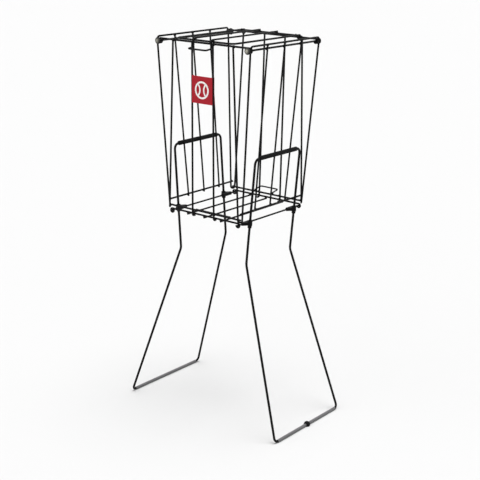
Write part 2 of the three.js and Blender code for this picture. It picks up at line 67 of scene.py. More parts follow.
# Axle rods and caps
AXLE_DROP = 10
CAP_DIAMETER = 17
CAP_SKIRT = 2.6
CAP_DOME = 4.2
CAP_SOCKET = 4
CAP_WASHER_ROUNDING = 1.2
CAP_WASHER_RISE = 0.6
DOME_DIAMETER = 15.4
# Round a cap's axis its colour is painted light as a reflected highlight out to the first radius, and
# fades to a rim painted dark as reflected shade by the second
CAP_PAINTED_HIGHLIGHT_RADIUS = 2.2
CAP_PAINTED_SHADE_RADIUS = 6.2
DOME_LIP = 0.5
DOME_SINK = 0.8
# A turned form keeps this far from its axis
TIP_RADIUS = 0.05

# Wall wires
WALL_WIRE_TOP_HALF_GAP = 32.4
WALL_WIRE_ROD_GAP = 19
BACK_WIRE_SHIFT = 8
WIRE_HOOK_LENGTH = 4
SIDE_WIRE_TOP_PITCH = 67.3
SIDE_WIRE_BASE_PITCH = 61
SIDE_WIRE_TOP_SHIFT = -5
SIDE_RAIL_RISE = 28.5
SIDE_WIRE_TAIL = 2

# Sills and floor
SILL_GAP = 9.2
EDGE_ROD_INSET = 10.4
EDGE_ROD_OVERHANG = 2.5
FLOOR_ROD_OVERHANG = 3
CROSS_WIRE_INSET = 32.9
CROSS_WIRE_OVERHANG = 3

# Back bail
BAIL_HALF_GAP = 28.3
BAIL_WIRE_GAP = 9.7
BAIL_REACH = 24
BAIL_RISE = 5
BAIL_BEND = 5

# Red plate and the ball drawn on it
PLATE_THICKNESS = 1.6
PLATE_LEFT_EDGE = 0.8
PLATE_RIGHT_EDGE = 3
PLATE_LIP_ANGLE = math.pi * 0.44
PLATE_HEIGHT = 66
PLATE_TOP_DROP = 83
PLATE_EDGE_BEVEL = 0.45
EMBLEM_DIAMETER = 43
EMBLEM_STROKE = 4.4
SEAM_STROKE = 4.0
SEAM_DIAMETER = 38
SEAM_SPREAD = 25
SEAM_END_SHARE = 0.6
EMBLEM_HEIGHT = 0.12

# Lid
LID_CORNER_BEND = 14
LID_ROD_TAIL = 2.2
HANDLE_GAP = 0.8
HANDLE_DROP = 21
HANDLE_REACH = 20
HANDLE_TIP_DROP = 2
HANDLE_BEND = 5

# Leg loops, their sleeves and the ball
GRIP_HEIGHT = 691.6
KNEE_HEIGHT = 423.5
LOOP_INSET = 34.1
LOOP_LEAN = 0.0835
FOOT_HALF_SPREAD = 241
FOOT_HALF_DEPTH = 135
LOOP_TOP_BEND = 14
KNEE_BEND = 28
FOOT_BEND = 10
GRIP_WALL = 2.3
GRIP_END_MARGIN = 1
GRIP_END_ROUNDING = 2.2
FOOT_SLEEVE_WALL = 0.6
FOOT_SLEEVE_END_MARGIN = 1
FOOT_SLEEVE_ROUNDING = 0.5
# A foot sleeve of the frame has flat sides and stands on one of them
FOOT_SLEEVE_SIDES = 16
BALL_DIAMETER = 16.4
BALL_LIP = 0.5

# Guides and collars
GUIDE_HEIGHT = 13
COLLAR_WALL = 1.7
COLLAR_HEIGHT = 5
COLLAR_ROUNDING = 0.9
GUIDE_VOXEL = 0.55
GUIDE_SMOOTHING_STEPS = 14
GUIDE_SMOOTHING_SHARE = 0.5

# Fineness of the meshes
WIRE_SIDES = 24
ROUND_SIDES = 64
BEND_STEP = math.radians(7.5)
LEAST_BEND_STEPS = 2
SHORTEST_RUN = 0.02
END_ROUNDING_SHARE = 0.45
END_STEPS = 4
SLEEVE_EDGE_STEPS = 6
DOME_STEPS = 16
DOME_LIP_STEPS = 8
PLATE_LIP_STEPS = 12
PLATE_BEVEL_STEPS = 3
PLATE_BEVEL_LIMIT = math.radians(50)
RING_STEPS = 96
SEAM_STEPS = 32
BALL_STEPS = 40
# A wire whose first heading is steeper than this takes its sides from X, and not from Z
STEEP_SHARE = math.sqrt(0.5)

# Weld beads
WELD_WIDTH_SHARE = 0.8
WELD_DEPTH_SHARE = 0.62
WELD_LUMP = 0.14
WELD_LUMP_SCALE = 0.9
WELD_LUMP_STEP = 3.7
WELD_ROWS = 10
WELD_COLUMNS = 16
# The part of a row that a bead's first and last rows stand off its poles
WELD_POLE_ROWS = 0.02
RAIL_WELD_SHARE = 0.01
# The welds on the lid's cross wire are slimmer, so they clear the back wall wires at the stop
LID_CROSS_WELD_SHARE = 0.55

SIDES = (("left", -1), ("right", 1))
ENDS = (("front", -1), ("back", 1))
X_WAY = (1, 0, 0)
Y_WAY = (0, 1, 0)
Z_WAY = (0, 0, 1)


# Materials

# How coarse each layer of noise is, and how much fine detail it has
DRIFT_SCALE = 14.0
ZINC_DRIFT_SCALE = 170.0
DRIFT_DETAIL = 5.0
PATCH_SCALE = 55.0
PATCH_DETAIL = 6.0
GRAIN_DETAIL = 3.0
# The part of the patches' noise that covers the whole range of roughness
PATCH_LOW = 0.3
PATCH_HIGH = 0.7
USUAL_SPECULAR = 0.5
# A Mix node's colour sockets, which share their names with its other sockets
MIX_COLOR_A = 6
MIX_COLOR_B = 7
MIX_COLOR_RESULT = 2


def node_adder(tree):
    """Empties a node tree and returns a function that adds a node with its inputs to it"""
    tree.nodes.clear()

    def add(kind, inputs=(), **settings):
        node = tree.nodes.new(kind)
        for key, value in settings.items():
            setattr(node, key, value)
        for key, value in dict(inputs).items():
            if isinstance(value, bpy.types.NodeSocket):
                tree.links.new(value, node.inputs[key])
            else:
                node.inputs[key].default_value = value
        return node

    return add


def new_material(name):
    material = bpy.data.materials.new(name)
    material.use_nodes = True
    return material, node_adder(material.node_tree)


def noise_layer(add, place, scale, detail):
    return add("ShaderNodeTexNoise", {"Vector": place, "Scale": scale, "Detail": detail}).outputs["Fac"]


def finished_surface(
    name, colors, roughness, bumps, specular=USUAL_SPECULAR, drift_scale=DRIFT_SCALE, painted_reflection=None,
):
    """A surface whose colour and roughness drift a little, with layers of fine relief.

    Each bump has a scale, a height in millimetres and a strength. Painted reflection can be a
    function that says where the surface is metallic and painted lighter as a highlight, and where
    it is painted darker as reflected shade.
    """
    material, add = new_material(name)
    place = add("ShaderNodeTexCoord").outputs["Object"]
    share = noise_layer(add, place, drift_scale, DRIFT_DETAIL)
    metal_and_painted_reflection = 0.0
    # The painted reflection is metallic and lets the colour drift toward the lighter one where it is 1,
    # as a painted highlight, and darkens it where it falls toward 0, as painted shade
    if painted_reflection:
        metal_and_painted_reflection = painted_reflection(add, place)
        share = add("ShaderNodeMath", {0: share, 1: metal_and_painted_reflection}, operation="MULTIPLY").outputs[0]
    tint = add("ShaderNodeMix", {"Factor": share, MIX_COLOR_A: colors[0], MIX_COLOR_B: colors[1]},
               data_type="RGBA")
    gloss = add("ShaderNodeMapRange", {
        "Value": noise_layer(add, place, PATCH_SCALE, PATCH_DETAIL),
        "From Min": PATCH_LOW, "From Max": PATCH_HIGH,
        "To Min": roughness[0], "To Max": roughness[1],
    })
    normal = None
    for scale, height, strength in bumps:
        grain = noise_layer(add, place, scale, GRAIN_DETAIL)
        inputs = {"Height": grain, "Strength": strength, "Distance": height * MM}
        if normal is not None:
            inputs["Normal"] = normal
        normal = add("ShaderNodeBump", inputs).outputs["Normal"]
    shader = add("ShaderNodeBsdfPrincipled", {
        "Base Color": tint.outputs[MIX_COLOR_RESULT], "Metallic": metal_and_painted_reflection,
        "Roughness": gloss.outputs["Result"], "Specular IOR Level": specular, "Normal": normal,
    })
    add("ShaderNodeOutputMaterial", {"Surface": shader.outputs["BSDF"]})
    return material


BLACK_WIRE = finished_surface(
    "black_powder_coat",
    colors=((0.0042, 0.0042, 0.0045, 1), (0.0065, 0.0065, 0.0069, 1)),
    roughness=(0.30, 0.44),
    bumps=((1400, 0.05, 0.35), (380, 0.12, 0.25)),
    specular=0.06,
)
BLACK_PLASTIC = finished_surface(
    "black_moulded_plastic",
    colors=((0.0045, 0.0045, 0.005, 1), (0.0075, 0.0075, 0.008, 1)),
    roughness=(0.42, 0.55),
    bumps=((2200, 0.05, 0.4),),
    specular=0.05,
)
BLACK_RUBBER = finished_surface(
    "black_foam_rubber",
    colors=((0.0045, 0.0045, 0.005, 1), (0.009, 0.009, 0.009, 1)),
    roughness=(0.68, 0.85),
    bumps=((1500, 0.22, 0.6), (520, 0.25, 0.35)),
    specular=0.08,
)
GREY_VINYL = finished_surface(
    "grey_vinyl",
    colors=((0.098, 0.098, 0.102, 1), (0.125, 0.125, 0.128, 1)),
    roughness=(0.36, 0.5),
    bumps=((900, 0.06, 0.35), (70, 0.3, 0.25)),
)
RED_PLASTIC = finished_surface(
    "red_plastic",
    colors=((0.36, 0.008, 0.018, 1), (0.42, 0.0105, 0.022, 1)),
    roughness=(0.3, 0.42),
    bumps=((1100, 0.05, 0.25), (60, 0.3, 0.12)),
    specular=0.16,
)
WHITE_PRINT = finished_surface(
    "white_print",
    colors=((0.86, 0.84, 0.82, 1), (0.93, 0.915, 0.90, 1)),
    roughness=(0.4, 0.55),
    bumps=((1300, 0.04, 0.2),),
)


# Mesh helpers

def add_mesh(name, points, faces, material, body, nodes=()):
    """A smooth mesh piece from points in millimetres, riding on a body"""
    mesh = bpy.data.meshes.new(name)
    mesh.from_pydata([tuple(Vector(p) * MM) for p in points], [], faces)
    mesh.materials.append(material)
    mesh.shade_smooth()
    mesh.validate()
    piece = bpy.data.objects.new(name, mesh)
    bpy.context.scene.collection.objects.link(piece)
    return settle(piece, body, nodes)


def settle(piece, body, nodes=()):
    """Says what a piece rides on, which CAD nodes it stands for"""
    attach(piece, body)
    if nodes:
        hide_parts(*nodes)
    return piece


def stations(corners, bends=0.0, closed=False):
    """Points and headings along a bent wire: straight runs, and an arc at each corner"""
    points = [Vector(c) for c in corners]
    count = len(points)
    radii = bends if isinstance(bends, (list, tuple)) else [bends] * count
    path = []

    def add(point, heading):
        if not path or (path[-1][0] - point).length > SHORTEST_RUN:
            path.append((point, heading))

    for i, corner in enumerate(points):
        if not closed and i in (0, count - 1):
            heading = points[1] - corner if i == 0 else corner - points[-2]
            add(corner, heading.normalized())
            continue
        arriving = (corner - points[i - 1]).normalized()
        leaving = (points[(i + 1) % count] - corner).normalized()
        turn = arriving.angle(leaving)
        inward = (leaving - arriving * arriving.dot(leaving)).normalized()
        start = corner - arriving * radii[i] * math.tan(turn / 2)
        steps = max(LEAST_BEND_STEPS, math.ceil(turn / BEND_STEP))
        for k in range(steps + 1):
            angle = turn * k / steps
            across = arriving * math.sin(angle) + inward * (1 - math.cos(angle))
            add(start + across * radii[i], arriving * math.cos(angle) + inward * math.sin(angle))
    return path


def rounded_end(path, radius, at_start):
    """Path entries with radii that round off one cut end of a wire"""
    point, heading = path[0] if at_start else path[-1]
    outward = -heading if at_start else heading
    rounding = radius * END_ROUNDING_SHARE
    rings = []
    for k in range(END_STEPS + 1):
        angle = math.pi / 2 * k / END_STEPS
        place = point - outward * rounding * (1 - math.sin(angle))
        rings.append((place, heading, radius - rounding * (1 - math.cos(angle))))
    return rings[::-1] if at_start else rings


def ring_faces(rings, sides, closed, turned=False):
    """Faces between rings of points. A closed form joins its last ring to its first."""
    faces = []
    for r in range(rings if closed else rings - 1):
        a = r * sides
        b = (r + 1) % rings * sides
        for k in range(sides):
            j = (k + 1) % sides
            faces.append((a + k, b + k, b + j, a + j) if turned else (a + k, a + j, b + j, b + k))
    return faces


def sweep(path, diameter, closed=False):
    """Points and faces of a round wire along a path"""
    radius = diameter / 2
    if closed:
        rings = [(point, heading, radius) for point, heading in path]
    else:
        middle = [(point, heading, radius) for point, heading in path[1:-1]]
        rings = [*rounded_end(path, radius, True), *middle, *rounded_end(path, radius, False)]
    first = rings[0][1]
    reference = Vector((1, 0, 0)) if abs(first.z) > STEEP_SHARE else Vector((0, 0, 1))
    side = first.cross(reference).normalized()
    heading = first
    points = []
    for place, direction, ring_radius in rings:
        side = side.copy()
        side.rotate(heading.rotation_difference(direction))
        heading = direction
        up = heading.cross(side)
        for k in range(WIRE_SIDES):
            angle = 2 * math.pi * k / WIRE_SIDES
            points.append(place + (side * math.cos(angle) + up * math.sin(angle)) * ring_radius)
    faces = ring_faces(len(rings), WIRE_SIDES, closed)
    if not closed:
        faces.append(tuple(reversed(range(WIRE_SIDES))))
        faces.append(tuple(range(len(points) - WIRE_SIDES, len(points))))
    return points, faces


def add_wire(body, node, corners, diameter, bends=0.0, closed=False):
    """A coated wire that stands for a CAD node"""
    points, faces = sweep(stations(corners, bends, closed), diameter, closed)
    return add_mesh(f"{node}_coated", points, faces, BLACK_WIRE, body, [node])


def lathe(profile):
    """Points and faces of a ring turned about the Y axis. Its profile lists radius and place."""
    points = []
    for radius, along in profile:
        for k in range(ROUND_SIDES):
            angle = 2 * math.pi * k / ROUND_SIDES
            points.append((radius * math.cos(angle), along, radius * math.sin(angle)))
    return points, ring_faces(len(profile), ROUND_SIDES, True, True)


def placed(points, matrix):
    return [matrix @ Vector(p) for p in points]


def arc(centre, radius, start, end, steps):
    """Points of an arc in a plane, both ends included"""
    angles = [start + (end - start) * k / steps for k in range(steps + 1)]
    return [(centre[0] + radius * math.cos(a), centre[1] + radius * math.sin(a)) for a in angles]


def sleeve_profile(outer, bore, length, rounding):
    """A sleeve's section with rounded outer edges, as a closed line of radius and place"""
    half = length / 2
    low = arc((outer - rounding, rounding - half), rounding, -math.pi / 2, 0, SLEEVE_EDGE_STEPS)
    high = arc((outer - rounding, half - rounding), rounding, 0, math.pi / 2, SLEEVE_EDGE_STEPS)
    return [(bore, -half), *low, *high, (bore, half)]


# Places shared by several pieces

def touching(diameter_a, diameter_b):
    """How far apart the middles of two wires are where they touch"""
    return (diameter_a + diameter_b) / 2 + CONTACT


edge_eye_radius = touching(FLOOR_WIRE, FRAME_WIRE)
lower_sill_z = FLOOR_HEIGHT + edge_eye_radius
upper_sill_z = lower_sill_z + SILL_GAP
hoop_foot_z = upper_sill_z - touching(FRAME_WIRE, FRAME_WIRE)


def between(z, base, rim):
    """A half width or depth of the tapered basket at any height"""
    return base + (rim - base) * (z - hoop_foot_z) / (RIM_HEIGHT - hoop_foot_z)


def wall_width_at(z):
    return between(z, BASE_HALF_WIDTH, RIM_HALF_WIDTH)


def corner_depth_at(z):
    return between(z, BASE_HALF_DEPTH - FOLD_DEPTH, RIM_HALF_DEPTH)


def wall_depth_at(z):
    return between(z, BASE_HALF_DEPTH, RIM_HALF_DEPTH)


wall_wire_top = RIM_HEIGHT - FOLD_END_DROP
wall_hook_z = lower_sill_z - touching(FRAME_WIRE, FRAME_WIRE)
fold_inner_x = BASE_HALF_WIDTH - FOLD_WIDTH
axle_z = RIM_HEIGHT - AXLE_DROP
axle_x = wall_width_at(axle_z) - touching(FRAME_WIRE, AXLE_ROD)
cap_seat = corner_depth_at(axle_z) + FRAME_WIRE / 2 + CONTACT
axle_eye_radius = touching(AXLE_ROD, RAIL_WIRE)
eye_foot = axle_z - axle_eye_radius - RAIL_WIRE / 2
rail_y = corner_depth_at(eye_foot) - touching(FRAME_WIRE, RAIL_WIRE)
rail_z = axle_z + axle_eye_radius
edge_rod_x = BASE_HALF_WIDTH - EDGE_ROD_INSET
floor_pitch = edge_rod_x / 2
wall_wire_base_x = floor_pitch - WALL_WIRE_ROD_GAP
sill_y = wall_depth_at(lower_sill_z) - touching(FRAME_WIRE, FRAME_WIRE)
cross_y = CROSS_WIRE_INSET - sill_y
side_rail_z = FLOOR_HEIGHT + SIDE_RAIL_RISE
side_rail_x = wall_width_at(side_rail_z) - touching(FRAME_WIRE, FRAME_WIRE)
rail_gap = touching(FRAME_WIRE, FLOOR_WIRE)
axle_gap = touching(AXLE_ROD, FLOOR_WIRE)
side_wire_lean = math.atan2(axle_x + axle_gap - side_rail_x + rail_gap, axle_z - side_rail_z)
side_wire_top_z = RIM_HEIGHT - (FRAME_WIRE + FLOOR_WIRE * math.sin(side_wire_lean)) / 2 - CONTACT
lid_z = rail_z + touching(RAIL_WIRE, FRAME_WIRE)
lid_half_width = FOLD_TOP_HALF_WIDTH - touching(FRAME_WIRE, FRAME_WIRE)
lid_cross_y = 2 * rail_y - RIM_HALF_DEPTH - touching(FRAME_WIRE, FRAME_WIRE)
lid_rod_x = WALL_WIRE_TOP_HALF_GAP - touching(FRAME_WIRE, FLOOR_WIRE)
lid_rod_z = lid_z + touching(FRAME_WIRE, FLOOR_WIRE)
bail_x = BACK_WIRE_SHIFT - wall_wire_base_x - BAIL_WIRE_GAP + BAIL_HALF_GAP
bail_seat_z = upper_sill_z + touching(FRAME_WIRE, THIN_WIRE)
cross_z = FLOOR_HEIGHT + touching(FLOOR_WIRE, THIN_WIRE)
loop_half_depth = sill_y - LOOP_INSET
leg_bore_radius = LEG_WIRE / 2 + CONTACT
foot_sleeve_radius = leg_bore_radius + FOOT_SLEEVE_WALL
foot_z = foot_sleeve_radius * math.cos(math.pi / FOOT_SLEEVE_SIDES)


def lean_at(z):
    """Where a leg's upper part stands at any height"""
    return side_rail_x + touching(FRAME_WIRE, LEG_WIRE) + (z - side_rail_z) * LOOP_LEAN


# Basket

def make_hoops():
    for side, s in SIDES:
        halves = [
            [
                (s * FOLD_TOP_HALF_WIDTH, e * RIM_HALF_DEPTH, wall_wire_top),
                (s * fold_inner_x, e * BASE_HALF_DEPTH, hoop_foot_z),
                (s * BASE_HALF_WIDTH, e * (BASE_HALF_DEPTH - FOLD_DEPTH), hoop_foot_z),
                (s * RIM_HALF_WIDTH, e * RIM_HALF_DEPTH, RIM_HEIGHT),
            ]
            for _, e in ENDS
        ]
        fold = math.hypot(FOLD_WIDTH, FOLD_DEPTH) / 2 - 2 * CONTACT
        bends = [0, fold, fold, RIM_CORNER_BEND, RIM_CORNER_BEND, fold, fold, 0]
        corners = [*halves[0], *reversed(halves[1])]
        add_wire("basket", f"{side}_side_hoop", corners, FRAME_WIRE, bends)


def make_axles():
    for side, s in SIDES:
        reach = cap_seat + CAP_SOCKET - CONTACT
        corners = [(s * axle_x, -reach, axle_z), (s * axle_x, reach, axle_z)]
        add_wire("basket", f"{side}_axle_rod", corners, AXLE_ROD)


def eyed_wire(node, rod_x, rod_z, y, eye_radius, diameter):
    """A wire along X that passes over two rods and curls round each in an eye"""
    def eye(s):
        return [
            (s * (rod_x - eye_radius), y, rod_z),
            (s * (rod_x - eye_radius), y, rod_z - eye_radius),
            (s * (rod_x + eye_radius), y, rod_z - eye_radius),
            (s * (rod_x + eye_radius), y, rod_z + eye_radius),
        ]

    add_wire("basket", node, [*eye(-1), *reversed(eye(1))], diameter, eye_radius)


def make_cross_members():
    upper_reach = wall_width_at(upper_sill_z) - FRAME_WIRE / 2 - CONTACT
    for end, e in ENDS:
        eyed_wire(f"{end}_top_rail", axle_x, axle_z, e * rail_y, axle_eye_radius, RAIL_WIRE)
        eyed_wire(f"{end}_lower_sill", edge_rod_x, FLOOR_HEIGHT, e * sill_y,
                  edge_eye_radius, FRAME_WIRE)
        upper = [(-upper_reach, e * sill_y, upper_sill_z), (upper_reach, e * sill_y, upper_sill_z)]
        add_wire("basket", f"{end}_upper_sill", upper, FRAME_WIRE)


def make_floor():
    edge_reach = sill_y + FRAME_WIRE / 2 + EDGE_ROD_OVERHANG
    rods = [(f"{side}_floor_edge_rod", s * edge_rod_x, edge_reach) for side, s in SIDES]
    for place, n in (("left", -1), ("middle", 0), ("right", 1)):
        rods.append((f"{place}_floor_rod", n * floor_pitch, sill_y + FLOOR_ROD_OVERHANG))
    for node, x, reach in rods:
        add_wire("basket", node, [(x, -reach, FLOOR_HEIGHT), (x, reach, FLOOR_HEIGHT)], FLOOR_WIRE)
    reach = floor_pitch + CROSS_WIRE_OVERHANG
    corners = [(-reach, cross_y, cross_z), (reach, cross_y, cross_z)]
    add_wire("basket", "floor_cross_wire", corners, THIN_WIRE)


def wall_wire_x(s, e, share):
    """X of a front or back wall wire, from its top at share 0 to its base at share 1"""
    shift = BACK_WIRE_SHIFT if e > 0 else 0
    gap = WALL_WIRE_TOP_HALF_GAP + (wall_wire_base_x - WALL_WIRE_TOP_HALF_GAP) * share
    return shift + s * gap


def make_wall_wires():
    hook_bend = touching(FRAME_WIRE, FRAME_WIRE)
    for end, e in ENDS:
        for side, s in SIDES:
            base_x = wall_wire_x(s, e, 1)
            corners = [
                (wall_wire_x(s, e, 0), e * RIM_HALF_DEPTH, wall_wire_top),
                (base_x, e * wall_depth_at(wall_hook_z), wall_hook_z),
                (base_x, e * (sill_y - WIRE_HOOK_LENGTH), wall_hook_z),
            ]
            add_wire("basket", f"{end}_{side}_wall_wire", corners, FRAME_WIRE, hook_bend)


def side_wire_x(z):
    """X of a side wire, which passes inside the side rail and outside the axle rod"""
    low = side_rail_x - rail_gap / math.cos(side_wire_lean)
    high = axle_x + axle_gap / math.cos(side_wire_lean)
    return low + (high - low) * (z - side_rail_z) / (axle_z - side_rail_z)


def side_wire_top_y(n):
    return n * SIDE_WIRE_TOP_PITCH + SIDE_WIRE_TOP_SHIFT


def make_side_walls():
    reach = corner_depth_at(side_rail_z) + FRAME_WIRE / 2
    wire_foot_z = side_rail_z - FRAME_WIRE / 2 - SIDE_WIRE_TAIL
    for side, s in SIDES:
        rail = [(s * side_rail_x, -reach, side_rail_z), (s * side_rail_x, reach, side_rail_z)]
        add_wire("basket", f"{side}_side_rail", rail, FRAME_WIRE)
        for place, n in (("front", -1), ("middle", 0), ("back", 1)):
            corners = [
                (s * side_wire_x(wire_foot_z), n * SIDE_WIRE_BASE_PITCH, wire_foot_z),
                (s * side_wire_x(side_wire_top_z), side_wire_top_y(n), side_wire_top_z),
            ]
            add_wire("basket", f"{side}_{place}_side_wire", corners, FLOOR_WIRE)


def make_back_bail():
    arms = [
        [
            (bail_x + s * BAIL_HALF_GAP, sill_y - THIN_WIRE / 2, bail_seat_z),
            (bail_x + s * BAIL_HALF_GAP, sill_y + BAIL_REACH, bail_seat_z + BAIL_RISE),
        ]
        for _, s in SIDES
    ]
    add_wire("basket", "back_bail", [*arms[0], *reversed(arms[1])], THIN_WIRE, BAIL_BEND)


# Welds

def bead(at, along, across, width_a, width_b, seed):
    """A lump of weld between two crossing wires, longer along each and thin between them"""
    along = Vector(along).normalized()
    normal = along.cross(Vector(across)).normalized()
    across = normal.cross(along)
    depth = min(width_a, width_b) * WELD_DEPTH_SHARE
    lump_place = Vector((seed * WELD_LUMP_STEP, seed, 0))
    points = []
    for r in range(WELD_ROWS + 1):
        tilt = math.pi * (r + WELD_POLE_ROWS) / (WELD_ROWS + 2 * WELD_POLE_ROWS)
        for k in range(WELD_COLUMNS):
            turn = 2 * math.pi * k / WELD_COLUMNS
            reach = math.sin(tilt)
            unit = Vector((reach * math.cos(turn), reach * math.sin(turn), math.cos(tilt)))
            lump = 1 + WELD_LUMP * noise.noise(unit * WELD_LUMP_SCALE + lump_place)
            points.append(
                Vector(at)
                + along * unit.x * lump * width_a
                + across * unit.y * lump * width_b
                + normal * unit.z * lump * depth
            )
    faces = ring_faces(WELD_ROWS + 1, WELD_COLUMNS, False, True)
    faces.append(tuple(range(WELD_COLUMNS)))
    faces.append(tuple(reversed(range(len(points) - WELD_COLUMNS, len(points)))))
    return points, faces


def add_welds(name, body, places):
    """All welds of one body as one piece. A place lists where, the two wires' ways and widths."""
    points = []
    faces = []
    for seed, (at, along, across, diameter_a, diameter_b) in enumerate(places):
        some, joined = bead(
            at, along, across, diameter_b * WELD_WIDTH_SHARE, diameter_a * WELD_WIDTH_SHARE, seed,
        )
        faces += [tuple(len(points) + i for i in face) for face in joined]
        points += some
    add_mesh(name, points, faces, BLACK_WIRE, body, ())


def wall_weld_places(s, e):
    """Welds of one half of the front or back wall, and of the side rail beside it"""
    places = []
    for z in (lower_sill_z, upper_sill_z):
        share = (wall_wire_top - z) / (wall_wire_top - lower_sill_z)
        at = (wall_wire_x(s, e, share), e * (sill_y + wall_depth_at(z)) / 2, z)
        places.append((at, X_WAY, Z_WAY, FRAME_WIRE, FRAME_WIRE))
    top_y = e * (rail_y + RIM_HALF_DEPTH) / 2
    for x in (wall_wire_x(s, e, RAIL_WELD_SHARE), s * FOLD_TOP_HALF_WIDTH):
        places.append(((x, top_y, rail_z), X_WAY, Z_WAY, RAIL_WIRE, FRAME_WIRE))
    at = (s * fold_inner_x, e * (sill_y + BASE_HALF_DEPTH) / 2, upper_sill_z)
    places.append((at, X_WAY, Z_WAY, FRAME_WIRE, FRAME_WIRE))
    rail_end_x = (side_rail_x + wall_width_at(side_rail_z)) / 2
    at = (s * rail_end_x, e * corner_depth_at(side_rail_z), side_rail_z)
    places.append((at, Y_WAY, Z_WAY, FRAME_WIRE, FRAME_WIRE))
    return places


def side_wire_weld_places(s, n):
    """Welds of one side wire: on the side rail, on the axle rod and under the rim"""
    foot = (s * (side_rail_x - rail_gap / 2), n * SIDE_WIRE_BASE_PITCH, side_rail_z)
    middle = (s * (axle_x + axle_gap / 2), side_wire_top_y(n), axle_z)
    top = (s * side_wire_x(side_wire_top_z), side_wire_top_y(n), side_wire_top_z)
    return [
        (foot, Y_WAY, Z_WAY, FRAME_WIRE, FLOOR_WIRE),
        (middle, Y_WAY, Z_WAY, AXLE_ROD, FLOOR_WIRE),
        (top, Y_WAY, X_WAY, FLOOR_WIRE, FLOOR_WIRE),
    ]


def basket_weld_places():
    places = []
    for _, e in ENDS:
        for _, s in SIDES:
            places += wall_weld_places(s, e)
        for n in (-1, 0, 1):
            at = (n * floor_pitch, e * sill_y, (FLOOR_HEIGHT + lower_sill_z) / 2)
            places.append((at, X_WAY, Y_WAY, FRAME_WIRE, FLOOR_WIRE))
    for n in (-1, 0, 1):
        at = (n * floor_pitch, cross_y, (FLOOR_HEIGHT + cross_z) / 2)
        places.append((at, X_WAY, Y_WAY, THIN_WIRE, FLOOR_WIRE))
        for _, s in SIDES:
            places += side_wire_weld_places(s, n)
    for _, s in SIDES:
        at = (bail_x + s * BAIL_HALF_GAP, sill_y, (upper_sill_z + bail_seat_z) / 2)
        places.append((at, X_WAY, Y_WAY, FRAME_WIRE, THIN_WIRE))
    return places


def lid_weld_places():
    places = []
    between_z = (lid_z + lid_rod_z) / 2
    for _, s in SIDES:
        at = (s * lid_rod_x, -rail_y, between_z)
        places.append((at, X_WAY, Y_WAY, FRAME_WIRE, FLOOR_WIRE))
        at = (s * lid_rod_x, lid_cross_y, between_z)
        places.append((at, X_WAY, Y_WAY, FRAME_WIRE * LID_CROSS_WELD_SHARE, FLOOR_WIRE))
        at = (s * (lid_half_width - FRAME_WIRE / 2), lid_cross_y, lid_z)
        places.append((at, Y_WAY, Z_WAY, FRAME_WIRE, FRAME_WIRE))
    return places


# Caps

def painted_cap_reflection(add, place):
    """1 round a cap's axis, where its dome is metallic and painted light as a reflected highlight, and 0
    toward its rim, painted dark as reflected shade
    """
    spot = add("ShaderNodeSeparateXYZ", {"Vector": place})
    outward = add("ShaderNodeMath", {0: spot.outputs["X"]}, operation="ABSOLUTE")
    across = add("ShaderNodeCombineXYZ", {"X": outward.outputs[0], "Z": spot.outputs["Z"]})
    reach = add("ShaderNodeVectorMath", {0: across.outputs[0], 1: (axle_x * MM, 0, axle_z * MM)},
                operation="DISTANCE")
    share = add("ShaderNodeMapRange", {
        "Value": reach.outputs["Value"], "From Min": CAP_PAINTED_HIGHLIGHT_RADIUS * MM,
        "From Max": CAP_PAINTED_SHADE_RADIUS * MM, "To Min": 1.0, "To Max": 0.0,
    })
    return share.outputs["Result"]


# The caps' zinc: dark toward each cap's rim as painted shade, and lighter and metallic round its axis as
# a painted highlight
ZINC = finished_surface(
    "zinc_plate",
    colors=((0.012, 0.012, 0.010, 1), (0.58, 0.565, 0.48, 1)),
    roughness=(0.22, 0.38),
    bumps=((700, 0.1, 0.3), (160, 0.2, 0.2)),
    specular=0.3,
    drift_scale=ZINC_DRIFT_SCALE,
    painted_reflection=painted_cap_reflection,
)

cap_socket_radius = AXLE_ROD / 2 + CONTACT
washer_top = CAP_SKIRT + CAP_WASHER_RISE


def washer_profile():
    """The section of a cap's dark rounded washer, from the cap's seat up"""
    section = sleeve_profile(CAP_DIAMETER / 2, cap_socket_radius, washer_top, CAP_WASHER_ROUNDING)
    return [(radius, along + washer_top / 2) for radius, along in section]


def dome_profile():
    """The section of a cap's dome: a cut sphere with a round lip, hollow over the rod's end"""
    crown = CAP_SKIRT + CAP_DOME
    rim = DOME_DIAMETER / 2
    rise = crown - washer_top
    radius = (rim * rim + rise * rise) / (2 * rise)
    half_angle = math.asin((rim - DOME_LIP) / radius)
    dome = arc((0, crown - radius), radius, math.pi / 2 - half_angle, math.pi / 2, DOME_STEPS)
    dome = [(max(x, TIP_RADIUS), y) for x, y in dome]
    lip_centre = (rim - DOME_LIP, dome[0][1] - DOME_LIP)
    lip = arc(lip_centre, DOME_LIP, -math.pi / 2, math.pi / 2, DOME_LIP_STEPS)
    foot = washer_top - DOME_SINK
    ceiling = crown - rise / 2
    return [
        (cap_socket_radius, ceiling), (cap_socket_radius, foot), (rim - DOME_LIP, foot),
        *lip[1:], *dome, (TIP_RADIUS, ceiling),
    ]


def make_caps():
    """Caps pressed on the axle rods' ends: a zinc dome over a dark rounded washer"""
    for side, s in SIDES:
        for end, e in ENDS:
            node = f"{side}_{end}_cap"
            turn = Matrix.Rotation(math.pi, 4, "X") if e < 0 else Matrix.Identity(4)
            place = Matrix.Translation((s * axle_x, e * cap_seat, axle_z)) @ turn
            points, faces = lathe(dome_profile())
            add_mesh(f"{node}_dome", placed(points, place), faces, ZINC, "basket", [node])
            points, faces = lathe(washer_profile())
            add_mesh(f"{node}_washer", placed(points, place), faces, BLACK_WIRE, "basket",
                     [node])


# Red plate

